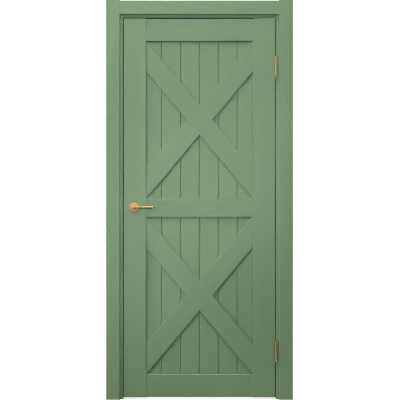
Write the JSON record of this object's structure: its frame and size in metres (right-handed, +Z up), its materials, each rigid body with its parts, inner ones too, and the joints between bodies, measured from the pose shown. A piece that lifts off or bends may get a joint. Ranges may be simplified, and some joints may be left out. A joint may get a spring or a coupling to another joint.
{
  "type": "interior door",
  "caption": "Framed plank door leaf with crossed braces, hung on butt hinges in a rebated frame with flat casings, with a lever-operated mortise latch.",
  "frame": {"origin": "on the floor, under the middle of the leaf's width and thickness", "axes": "+X along the leaf towards the hinges, +Y through the wall away from the side it opens to, +Z up"},
  "size_m": [0.984, 0.151, 2.108],
  "materials": {
    "painted_wood": "matt sage-green enamel over open wood grain",
    "bare_wood": "plain beech",
    "brass": "polished, lacquered",
    "steel": "zinc plated",
    "seal": "soft, matt"
  },
  "bodies": {
    "frame": {"hinge_jamb": "painted_wood", "strike_jamb": "painted_wood", "head_jamb": "painted_wood", "frame_seal": "seal", "front_left_casing": "painted_wood", "front_right_casing": "painted_wood", "front_head_casing": "painted_wood", "back_left_casing": "painted_wood", "back_right_casing": "painted_wood", "back_head_casing": "painted_wood", "strike_plate": "brass", "strike_screws": "brass", "corner_screws": "steel", "frame_hinge_screws": "brass", "upper_hinge_frame_wing": "brass", "lower_hinge_frame_wing": "brass", "upper_hinge_pin": "brass", "lower_hinge_pin": "brass"},
    "leaf": {"hinge_stile": "painted_wood", "lock_stile": "painted_wood", "top_rail": "painted_wood", "lock_rail": "painted_wood", "bottom_rail": "painted_wood", "upper_plank_1": "painted_wood", "upper_plank_2": "painted_wood", "upper_plank_3": "painted_wood", "upper_plank_4": "painted_wood", "upper_plank_5": "painted_wood", "upper_plank_6": "painted_wood", "lower_plank_1": "painted_wood", "lower_plank_2": "painted_wood", "lower_plank_3": "painted_wood", "lower_plank_4": "painted_wood", "lower_plank_5": "painted_wood", "lower_plank_6": "painted_wood", "upper_front_rising_brace": "painted_wood", "upper_front_falling_brace": "painted_wood", "upper_back_rising_brace": "painted_wood", "upper_back_falling_brace": "painted_wood", "lower_front_rising_brace": "painted_wood", "lower_front_falling_brace": "painted_wood", "lower_back_rising_brace": "painted_wood", "lower_back_falling_brace": "painted_wood", "leaf_hinge_screws": "brass", "upper_hinge_leaf_wing": "brass", "lower_hinge_leaf_wing": "brass", "latch_forend": "brass", "latch_screws": "brass", "front_rose": "brass", "back_rose": "brass", "latch_case": "steel", "latch_spring": "steel", "rose_bolts": "steel", "rail_dowels": "bare_wood"},
    "lever_set": {"front_lever": "brass", "back_lever": "brass", "spindle": "steel", "latch_follower": "steel", "lever_grub_screws": "steel"},
    "latch_bolt": {"latch_bolt": "steel"}
  },
  "joints": [
    {"name": "leaf_swing", "type": "hinge", "parent": "frame", "child": "leaf", "pos_m": [0.402, -0.027, 0], "axis": [0, 0, 1], "range_deg": [0, 170]},
    {"name": "lever_turn", "type": "hinge", "parent": "leaf", "child": "lever_set", "pos_m": [-0.345, 0, 1.013], "axis": [0, 1, 0], "range_deg": [0, 45], "stiffness_Nm_per_rad": 1, "springref_deg": -34.38},
    {"name": "latch_slide", "type": "slide", "parent": "leaf", "child": "latch_bolt", "axis": [1, 0, 0], "range_m": [0, 0.0101], "deforming": ["latch_spring"]}
  ],
  "couplings": [
    {"joint": "latch_slide", "follows": "lever_turn", "m_per_rad": 0.012732}
  ]
}
